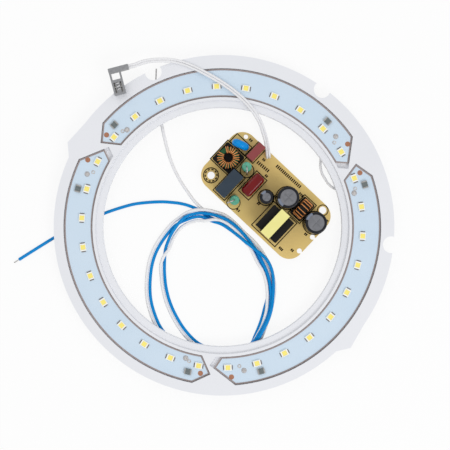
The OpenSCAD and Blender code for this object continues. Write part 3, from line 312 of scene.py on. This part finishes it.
MATERIALS = {
    "bare_rim": surface("bare_rim", colour(148, 134, 132), colour(170, 157, 154), 500, (0.5, 0.65)),
    "tinned_foot": surface("tinned_foot", colour(108, 102, 102), colour(140, 134, 132), 1200, (0.35, 0.5),
                           (3000, 0.1), 0.3),
    "bright_solder": surface("bright_solder", colour(96, 84, 82), colour(255, 253, 251), 1700, (0.3, 0.45),
                             (3000, 0.1), 0.1),
    "tinned_strand": surface("tinned_strand", colour(176, 174, 172), colour(224, 222, 220), 1500, (0.3, 0.45),
                             (3000, 0.1), 0.2),
    "ink": surface("ink", colour(24, 16, 8), colour(40, 28, 14), 900, (0.55, 0.7), Specular_IOR_Level=0.1),
    "carrier_plastic": surface("carrier_plastic", colour(231, 233, 238), colour(237, 238, 243), 40,
                               (0.36, 0.46), (1800, 0.05)),
    "led_board_mask": with_edge(surface("led_board_mask", colour(204, 223, 240), colour(213, 229, 243), 70,
                                        (0.25, 0.34), (2600, 0.04)), colour(196, 184, 176)),
    "led_housing": surface("led_housing", colour(246, 246, 240), colour(251, 251, 247), 900, (0.4, 0.5)),
    "led_phosphor": surface("led_phosphor", colour(255, 234, 112), colour(255, 243, 140), 1500, (0.3, 0.45),
                            (6000, 0.15)),
    "solder": surface("solder", colour(166, 164, 162), colour(210, 208, 206), 900, (0.22, 0.4),
                      (3000, 0.12), 1.0),
    "bare_copper": surface("bare_copper", colour(164, 108, 80), colour(186, 132, 104), 1200, (0.4, 0.55),
                           (4000, 0.1), 0.35),
    "chip_body": surface("chip_body", colour(74, 82, 84), colour(128, 136, 136), 1800, (0.4, 0.6),
                         (4000, 0.2)),
    "wire_blue": surface("wire_blue", colour(0, 128, 203), colour(2, 144, 217), 120, (0.35, 0.45),
                         (1500, 0.05), Specular_IOR_Level=0.15),
    "wire_white": surface("wire_white", colour(234, 234, 237), colour(242, 242, 244), 120, (0.35, 0.45),
                          (1500, 0.05)),
    "driver_laminate": with_edge(surface("driver_laminate", colour(216, 186, 110), colour(238, 209, 137), 55,
                                         (0.3, 0.42), (1500, 0.08), Specular_IOR_Level=0.3),
                                 colour(206, 170, 92)),
    "black_plastic": surface("black_plastic", colour(14, 13, 12), colour(28, 26, 24), 500, (0.4, 0.55),
                             Specular_IOR_Level=0.2),
    "ferrite": surface("ferrite", colour(12, 11, 10), colour(30, 28, 26), 700, (0.45, 0.65), (3500, 0.25),
                       Specular_IOR_Level=0.2),
    "coated_core": surface("coated_core", colour(26, 70, 42), colour(42, 96, 58), 700, (0.35, 0.5),
                           Specular_IOR_Level=0.2),
    "magnet_wire": surface("magnet_wire", colour(196, 116, 56), colour(240, 168, 100), 900, (0.2, 0.32),
                           (3000, 0.05), 0.3),
    "disc_blue": surface("disc_blue", colour(0, 132, 212), colour(0, 150, 232), 350, (0.2, 0.3), (900, 0.12),
                         Specular_IOR_Level=0.05, Coat_Weight=0.3, Coat_Roughness=0.06),
    "film_red": surface("film_red", colour(128, 48, 50), colour(148, 66, 66), 300, (0.45, 0.55), (2500, 0.1)),
    "dipped_red": surface("dipped_red", colour(92, 2, 6), colour(124, 6, 10), 250, (0.15, 0.25), (500, 0.15),
                          Specular_IOR_Level=0.1, Coat_Weight=0.5, Coat_Roughness=0.05),
    "box_slate": surface("box_slate", colour(44, 56, 68), colour(58, 70, 83), 250, (0.42, 0.52), (2200, 0.12),
                         Specular_IOR_Level=0.2),
    "green_lacquer": surface("green_lacquer", colour(62, 150, 122), colour(118, 192, 164), 600, (0.22, 0.34),
                             (1200, 0.12), Specular_IOR_Level=0.2, Coat_Weight=0.5, Coat_Roughness=0.06),
    "can_sleeve": surface("can_sleeve", colour(14, 15, 19), colour(30, 32, 40), 400, (0.16, 0.26),
                          (1500, 0.06), Specular_IOR_Level=0.3),
    "can_metal": surface("can_metal", colour(112, 113, 118), colour(146, 147, 152), 600, (0.35, 0.5),
                         (2500, 0.15), 0.8),
    "core_tape": surface("core_tape", colour(236, 228, 140), colour(247, 240, 160), 300, (0.25, 0.35),
                         (1200, 0.06)),
    "winding_tape": surface("winding_tape", colour(198, 172, 64), colour(224, 200, 92), 300, (0.3, 0.4)),
    # plug_plastic: the white plug housing is painted grey, as painted shade on its frames and rear bar
    "plug_plastic": surface("plug_plastic", colour(118, 119, 122), colour(166, 167, 170), 700, (0.3, 0.42),
                            Specular_IOR_Level=0.3),
    "tinned_metal": surface("tinned_metal", colour(190, 188, 182), colour(220, 218, 212), 800, (0.25, 0.4),
                            (2500, 0.1), 0.5),
}
NODE_FINISH = {"led_terminals_top": "tinned_foot", "led_terminals_left": "tinned_foot",
               "led_terminals_right": "tinned_foot", "board_solder_joints": "bright_solder",
               "board_pad_rings": "bright_solder"}


def striped_sleeve(name, middle, stripe):
    """Black shrink sleeve with a grey stripe down one side. Its direction is in the board's own plane."""
    mat = MATERIALS["can_sleeve"].copy()
    mat.name = name + "_finish"
    tree, bsdf, plain = base_colour(mat)
    place = driver_point(*middle, 0) * MM
    turn = DRIVER_ANGLE + math.radians(stripe)
    parts = add_node(tree, "ShaderNodeSeparateXYZ", Vector=object_coords(tree))
    x = math_node(tree, "SUBTRACT", parts.outputs[0], place.x)
    y = math_node(tree, "SUBTRACT", parts.outputs[1], place.y)
    along = math_node(tree, "ADD", math_node(tree, "MULTIPLY", x, math.cos(turn)),
                      math_node(tree, "MULTIPLY", y, math.sin(turn)))
    reach = math_node(tree, "SQRT", math_node(tree, "ADD", math_node(tree, "MULTIPLY", x, x),
                                              math_node(tree, "MULTIPLY", y, y)))
    edge = math.cos(math.radians(STRIPE_HALF_ANGLE))
    grey = colour(122, 130, 146)
    near = math_node(tree, "GREATER_THAN", math_node(tree, "DIVIDE", along, reach), edge)
    tree.links.new(mix_colour(tree, near, plain, grey), bsdf.inputs["Base Color"])
    return mat


def dress_cad_nodes():
    for part in frame["record"]["subparts"]:
        target = nodes[part["node"]]
        target.data.materials.clear()
        target.data.materials.append(MATERIALS[part["material_slot"]])
    for name, (middle, stripe) in SLEEVES.items():
        nodes[name].data.materials[0] = striped_sleeve(name, middle, stripe)
    for name, finish in NODE_FINISH.items():
        nodes[name].data.materials[0] = MATERIALS[finish]


# Routes put together
def beside(points, gap):
    """A route moved sideways in plan, to the right of its way."""
    points = [Vector(p) for p in points]
    moved = []
    for i, p in enumerate(points):
        j = max(1, min(i, len(points) - 2))
        way = points[j + 1] - points[j - 1]
        moved.append(p + gap * Vector((way.y, -way.x, 0)).normalized())
    return moved


def on_board(place, gap):
    r, a = POCKET_IN_R + place[0], math.radians(gap + place[1])
    return Vector((r * math.cos(a), r * math.sin(a), POCKET_FLOOR_Z))


def joint_ends(place, gap):
    joint = on_board(place, gap)
    return [joint - Vector((0, 0, JOINT_DROP)), joint]


def driver_point(u, v, z):
    c, s = math.cos(DRIVER_ANGLE), math.sin(DRIVER_ANGLE)
    return Vector((DRIVER_AT[0] + u * c - v * s, DRIVER_AT[1] + u * s + v * c, z))


def blue_route():
    way = (BLUE_OUT + BLUE_FIRST + LANE_FIRST + BLUE_INNER_RETURN + BLUE_SECOND + BLUE_OUTER_RETURN
           + BLUE_THIRD + BLUE_END)
    return [*map(Vector, way), *joint_ends(CCW_JOINT, GAP_LEFT)]


def white_route():
    way = (WHITE_OUT + WHITE_FIRST + beside(LANE_FIRST, -STRAND_GAP) + WHITE_INNER_RETURN + WHITE_SECOND
           + WHITE_OUTER_RETURN + WHITE_THIRD + beside(LANE_FIRST, -2 * STRAND_GAP) + WHITE_END)
    return [*map(Vector, way), *joint_ends(CW_JOINT, GAP_RIGHT)]


def link_route(start, way, end):
    return [*reversed(joint_ends(*start)), *map(Vector, way), *joint_ends(*end)]


def twin_route():
    start = driver_point(*TWIN_AT, DRIVER_TOP)
    along = Vector((math.cos(PLUG_ANGLE), math.sin(PLUG_ANGLE), 0))
    mouth = Vector((*PLUG_AT, PLUG_WIRE_Z)) + PLUG_BAR_L / 2 * along
    return [start, start + Vector((0, 0, TWIN_RISE)), *map(Vector, TWIN_WAY),
            *(mouth + k * PLUG_RUN * along for k in (2, 1, 0))]


def link(obj):
    bpy.context.scene.collection.objects.link(obj)
    return obj


def handles(route):
    """Handles of a smooth wire at each point. Its height stays between that of the neighbouring points."""
    made = []
    for i, place in enumerate(route):
        before, after = route[max(i - 1, 0)], route[min(i + 1, len(route) - 1)]
        way = (after - before).normalized()
        if 0 < i < len(route) - 1:
            rise_in = (place.z - before.z) / (place - before).length
            rise_out = (after.z - place.z) / (after - place).length
            same = rise_in * rise_out > 0
            way.z = 2 * rise_in * rise_out / (rise_in + rise_out) if same else 0.0
        left = place - way * (place - before).length * HANDLE
        right = place + way * (after - place).length * HANDLE
        made.append((left, right))
    return made


def wire_curve(name, route, diameter, slot):
    """One smooth wire through the route's points."""
    data = bpy.data.curves.new(name, "CURVE")
    data.dimensions = "3D"
    data.bevel_depth = diameter / 2 * MM
    data.bevel_resolution = 4
    data.resolution_u = 10
    data.use_fill_caps = True
    spline = data.splines.new("BEZIER")
    spline.bezier_points.add(len(route) - 1)
    for point, place, (left, right) in zip(spline.bezier_points, route, handles(route)):
        point.handle_left_type = point.handle_right_type = "FREE"
        point.co, point.handle_left, point.handle_right = place * MM, left * MM, right * MM
    piece = link(bpy.data.objects.new(name, data))
    data.materials.append(MATERIALS[slot])
    return piece


def curve_length(route):
    """Length of the smooth wire, in metres."""
    bends = handles(route)
    total = 0.0
    for i in range(len(route) - 1):
        way = interpolate_bezier(route[i], bends[i][1], bends[i + 1][0], route[i + 1], 24)
        total += sum((b - a).length for a, b in zip(way, way[1:]))
    return total * MM


def free_wire(name, route, diameter, slot, node):
    piece = wire_curve(name, route, diameter, slot)
    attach(piece, "root")
    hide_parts(node)
    curve_length(route)


def bare_strands(name, route, node):
    """The bared end of a lead: seven fine wires, three across, twisted round each other."""
    count, turns, steps, splay = 7, 1.2, 16, 1.15
    fine = STRAND_D / 3
    data = bpy.data.curves.new(name, "CURVE")
    data.dimensions = "3D"
    data.bevel_depth = fine / 2 * MM
    data.bevel_resolution = 2
    tip, root = Vector(route[0]), Vector(route[-1])
    way = (tip - root).normalized()
    side = way.cross(Vector((0, 0, 1))).normalized()
    up = side.cross(way)
    for k in range(count):
        spline = data.splines.new("POLY")
        spline.points.add(steps)
        for i in range(steps + 1):
            t = i / steps
            turn = math.tau * (turns * t + k / (count - 1))
            reach = 0.0 if k == 0 else fine * (1 + (splay - 1) * t * t)
            place = root.lerp(tip, t) + reach * (math.cos(turn) * side + math.sin(turn) * up)
            spline.points[i].co = (*(place * MM), 1)
    data.materials.append(MATERIALS["tinned_strand"])
    piece = link(bpy.data.objects.new(name, data))
    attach(piece, "root")
    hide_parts(node)
    return piece


def make_wires():
    blue_tip = bare_strands("blue_lead_strands", BLUE_STRANDS, "lead_blue_strands")
    white_tip = bare_strands("white_lead_strands", WHITE_STRANDS, "lead_white_strands")
    free_wire("blue_lead", blue_route()[::-1], LEAD_D, "wire_blue", "lead_blue")
    free_wire("white_lead", white_route()[::-1], LEAD_D, "wire_white", "lead_white")
    right_link = link_route((CCW_JOINT, GAP_RIGHT), LINK_RIGHT, (CW_JOINT, GAP_TOP))
    left_link = link_route((CCW_JOINT, GAP_TOP), LINK_LEFT, (CW_JOINT, GAP_LEFT))
    free_wire("right_link_wire", right_link, LINK_D, "wire_white", "link_wire_right")
    free_wire("left_link_wire", left_link, LINK_D, "wire_white", "link_wire_left")
    twin_a, twin_b = beside(twin_route(), TWIN_SIDE), beside(twin_route(), -TWIN_SIDE)
    free_wire("twin_wire_a", twin_a, TWIN_D, "wire_white", "driver_lead_a")
    free_wire("twin_wire_b", twin_b, TWIN_D, "wire_white", "driver_lead_b")


# Driver parts
def driver_matrix(u=0.0, v=0.0, z=DRIVER_TOP):
    """From millimetres at a place on the driver board to the frame's metres."""
    return (Matrix.Scale(MM, 4) @ Matrix.Translation(driver_point(u, v, z))
            @ Matrix.Rotation(DRIVER_ANGLE, 4, "Z"))


def mesh_piece(name, bm, matrix, slot, node=None, smooth=False):
    bmesh.ops.recalc_face_normals(bm, faces=bm.faces)
    mesh = bpy.data.meshes.new(name)
    bm.to_mesh(mesh)
    bm.free()
    mesh.transform(matrix)
    for face in mesh.polygons:
        face.use_smooth = smooth
    mesh.materials.append(MATERIALS[slot])
    piece = link(bpy.data.objects.new(name, mesh))
    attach(piece, "root")
    if node:
        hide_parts(node)


def rounded_box(size, base, edge, steps=4):
    """A box that stands at a height, with every edge rounded."""
    bm = bmesh.new()
    bmesh.ops.create_cube(bm, size=1.0)
    bmesh.ops.scale(bm, vec=size, verts=bm.verts)
    bmesh.ops.translate(bm, vec=(0, 0, base + size[2] / 2), verts=bm.verts)
    bmesh.ops.bevel(bm, geom=bm.edges[:], offset=edge, segments=steps, profile=0.5, affect="EDGES")
    return bm


def add_rod(bm, place, diameter, low, high):
    made = bmesh.ops.create_cone(bm, cap_ends=True, segments=16, radius1=diameter / 2, radius2=diameter / 2,
                                 depth=high - low)
    bmesh.ops.translate(bm, vec=(*place, (low + high) / 2), verts=made["verts"])


def make_boxes():
    bm = rounded_box(SMALL_FILM_SIZE, 0, SMALL_FILM_EDGE)
    mesh_piece("film_box", bm, driver_matrix(*SMALL_FILM_AT), "film_red", "film_capacitor_small")
    bm = rounded_box(BOX_CAP_SIZE, 0, BOX_CAP_EDGE)
    mesh_piece("slate_box", bm, driver_matrix(*BOX_CAP_AT), "box_slate", "box_capacitor")
    bm = rounded_box(LARGE_FILM_SIZE, LARGE_FILM_LIFT, LARGE_FILM_EDGE, steps=8)
    for side in (-1, 1):
        add_rod(bm, (0, side * LARGE_FILM_PITCH / 2), PART_LEAD_D, 0, PART_LEAD_L)
    mesh_piece("dipped_film", bm, driver_matrix(*LARGE_FILM_AT), "dipped_red", "film_capacitor_large",
               smooth=True)


def wire_loops(name, matrix, frames, section, wire, node):
    """Round wire wound on a core. Each frame places one turn: its matrix takes (out, along) to the core."""
    data = bpy.data.curves.new(name, "CURVE")
    data.dimensions = "3D"
    data.bevel_depth = wire / 2 * MM
    data.bevel_resolution = 2
    seat = wire * 0.55
    corner, steps = wire, 4
    flat_w, flat_h = section[0] / 2 + seat - corner, section[1] / 2 + seat - corner
    outline = []
    for k, (sx, sy) in enumerate(((1, 1), (-1, 1), (-1, -1), (1, -1))):
        for i in range(steps + 1):
            a = math.pi / 2 * (k + i / steps)
            outline.append((sx * flat_w + corner * math.cos(a), sy * flat_h + corner * math.sin(a)))
    for turn in frames:
        spline = data.splines.new("POLY")
        spline.points.add(len(outline) - 1)
        spline.use_cyclic_u = True
        for point, (out, along) in zip(spline.points, outline):
            point.co = (*(matrix @ turn @ Vector((out, 0, along))), 1)
    data.materials.append(MATERIALS["magnet_wire"])
    piece = link(bpy.data.objects.new(name, data))
    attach(piece, "root")
    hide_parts(node)


def make_windings():
    drift = random.Random(7)
    toroid_mid = TOROID_BASE_T + TOROID_LIFT + TOROID_SECTION[1] / 2
    turns = []
    for i in range(TOROID_TURNS):
        share = (i + 0.5 + drift.uniform(-0.15, 0.15)) / TOROID_TURNS
        turn = math.radians(TOROID_GAP_AT + TOROID_GAP / 2 + (360 - TOROID_GAP) * share)
        turns.append(Matrix.Rotation(turn, 4, "Z") @ Matrix.Translation((TOROID_MEAN_R, 0, 0)))
    wire_loops("toroid_turns", driver_matrix(*TOROID_AT, DRIVER_TOP + toroid_mid), turns, TOROID_SECTION,
               TOROID_WIRE, "toroid_winding")
    upright = Matrix.Rotation(math.pi / 2, 4, "Y")
    turns = []
    for i in range(CHOKE_TURNS):
        lift = math.radians(CHOKE_FIRST + i * CHOKE_STEP)
        for side in (math.pi / 2 + lift, -math.pi / 2 - lift):
            turns.append(upright @ Matrix.Rotation(side, 4, "Z") @ Matrix.Translation((CHOKE_MEAN_R, 0, 0)))
    wire_loops("choke_turns", driver_matrix(*CHOKE_AT, DRIVER_TOP + CHOKE_MID), turns, CHOKE_SECTION,
               CHOKE_WIRE, "choke_winding")


# Printed marks: thin ink on the driver board, as outlines and plain ticks
def ink_bar(bm, a, b, width):
    a, b = Vector((*a, 0)), Vector((*b, 0))
    way = (b - a).normalized()
    side = Vector((-way.y, way.x, 0)) * width / 2
    low = [bm.verts.new(p) for p in (a - side, b - side, b + side, a + side)]
    high = [bm.verts.new(p.co + Vector((0, 0, INK_H))) for p in low]
    bm.faces.new(low[::-1])
    bm.faces.new(high)
    for i in range(4):
        j = (i + 1) % 4
        bm.faces.new((low[i], low[j], high[j], high[i]))


def ink_frame(bm, middle, size, width):
    u, v = middle
    half_u, half_v, half_line = size[0] / 2, size[1] / 2, width / 2
    for s in (-1, 1):
        across, along = v + s * half_v, u + s * half_u
        ink_bar(bm, (u - half_u - half_line, across), (u + half_u + half_line, across), width)
        ink_bar(bm, (along, v - half_v + half_line), (along, v + half_v - half_line), width)


def ink_ring(bm, middle, radius, width, dashes=0):
    count = dashes or INK_RING_SIDES
    share = INK_DASH_SHARE if dashes else 1.0
    for i in range(count):
        a, b = math.tau * i / count, math.tau * (i + share) / count
        ink_bar(bm, (middle[0] + radius * math.cos(a), middle[1] + radius * math.sin(a)),
                (middle[0] + radius * math.cos(b), middle[1] + radius * math.sin(b)), width)


def make_marks():
    bm = bmesh.new()
    for middle, size in INK_FRAMES:
        ink_frame(bm, middle, size, INK_FRAME_LINE)
    for middle, radius, width, dashes in INK_RINGS:
        ink_ring(bm, middle, radius, width, dashes)
    for start, end, count, length in INK_TICKS:
        start, end = Vector(start), Vector(end)
        way = (end - start).normalized()
        side = Vector((-way.y, way.x)) * length / 2
        for i in range(count):
            middle = start.lerp(end, i / (count - 1))
            ink_bar(bm, middle - side, middle + side, INK_TICK_LINE)
    mesh_piece("board_print", bm, driver_matrix(), "ink")


# The mask of the LED boards stops short of their edges and leaves a bare rim
def make_board_rims():
    width, height, lift = 0.65 * MM, 0.02 * MM, 0.005 * MM
    for side in ("top", "left", "right"):
        board = nodes["led_board_" + side]
        bm = bmesh.new()
        bm.from_mesh(board.data)
        bm.transform(board.matrix_world)
        top = max(v.co.z for v in bm.verts)
        spare = [f for f in bm.faces if f.calc_center_median().z < top - lift]
        bmesh.ops.delete(bm, geom=spare, context="FACES")
        bmesh.ops.remove_doubles(bm, verts=bm.verts, dist=lift / 10)
        band = bmesh.ops.inset_region(bm, faces=bm.faces[:], thickness=width, use_boundary=True,
                                      use_even_offset=True)
        kept = set(band["faces"])
        bmesh.ops.delete(bm, geom=[f for f in bm.faces if f not in kept], context="FACES")
        bmesh.ops.translate(bm, vec=(0, 0, lift), verts=bm.verts)
        raised = bmesh.ops.extrude_face_region(bm, geom=bm.faces[:], use_keep_orig=True)
        bmesh.ops.translate(bm, vec=(0, 0, height),
                            verts=[v for v in raised["geom"] if isinstance(v, bmesh.types.BMVert)])
        mesh_piece("board_rim_" + side, bm, Matrix.Identity(4), "bare_rim")


# Stage
def make_camera():
    data = bpy.data.cameras.new("view")
    data.sensor_width = SENSOR
    data.lens = SENSOR * VIEW_DISTANCE / VIEW_WIDTH
    camera = link(bpy.data.objects.new("view", data))
    camera.location = (*VIEW_CENTRE, RING_TOP + VIEW_DISTANCE)
    bpy.context.scene.camera = camera


def area_light(name, place, size, power):
    data = bpy.data.lights.new(name, "AREA")
    data.size = size
    data.energy = power
    lamp = link(bpy.data.objects.new(name, data))
    lamp.location = place
    lamp.rotation_euler = (-Vector(place)).to_track_quat("-Z", "Y").to_euler()


def make_floor():
    corners = [(x * FLOOR_REACH, y * FLOOR_REACH, 0) for x, y in ((-1, -1), (1, -1), (1, 1), (-1, 1))]
    mesh = bpy.data.meshes.new("floor")
    mesh.from_pydata(corners, [], [(0, 1, 2, 3)])
    mat = bpy.data.materials.new("floor_white")
    mat.use_nodes = True
    tree = mat.node_tree
    tree.nodes.clear()
    paint = add_node(tree, "ShaderNodeBsdfDiffuse", Color=(0.9, 0.9, 0.9, 1))
    glow = add_node(tree, "ShaderNodeEmission", Color=(1, 1, 1, 1), Strength=1.0)
    rays = tree.nodes.new("ShaderNodeLightPath")
    mirrored = math_node(tree, "MAXIMUM", rays.outputs["Is Glossy Ray"], rays.outputs["Is Transmission Ray"])
    seen = math_node(tree, "MAXIMUM", rays.outputs["Is Camera Ray"], mirrored)
    share = math_node(tree, "MULTIPLY", seen, FLOOR_GLOW)
    blend = add_node(tree, "ShaderNodeMixShader", Fac=share)
    tree.links.new(paint.outputs[0], blend.inputs[1])
    tree.links.new(glow.outputs[0], blend.inputs[2])
    out = tree.nodes.new("ShaderNodeOutputMaterial")
    tree.links.new(blend.outputs[0], out.inputs["Surface"])
    mesh.materials.append(mat)
    link(bpy.data.objects.new("floor", mesh))


def make_light():
    world = bpy.data.worlds.new("studio")
    bpy.context.scene.world = world
    world.use_nodes = True
    background = world.node_tree.nodes["Background"]
    background.inputs["Color"].default_value = (1, 1, 1, 1)
    background.inputs["Strength"].default_value = WORLD_STRENGTH
    area_light("key", place=(0.6, -0.7, 1.0), size=0.7, power=6.0)
    area_light("fill", place=(-0.5, 0.7, 0.9), size=0.9, power=2.0)


make_camera()
make_light()
make_floor()
dress_cad_nodes()
make_wires()
make_boxes()
make_windings()
make_marks()
make_board_rims()

bpy.context.scene.view_settings.view_transform = "Standard"
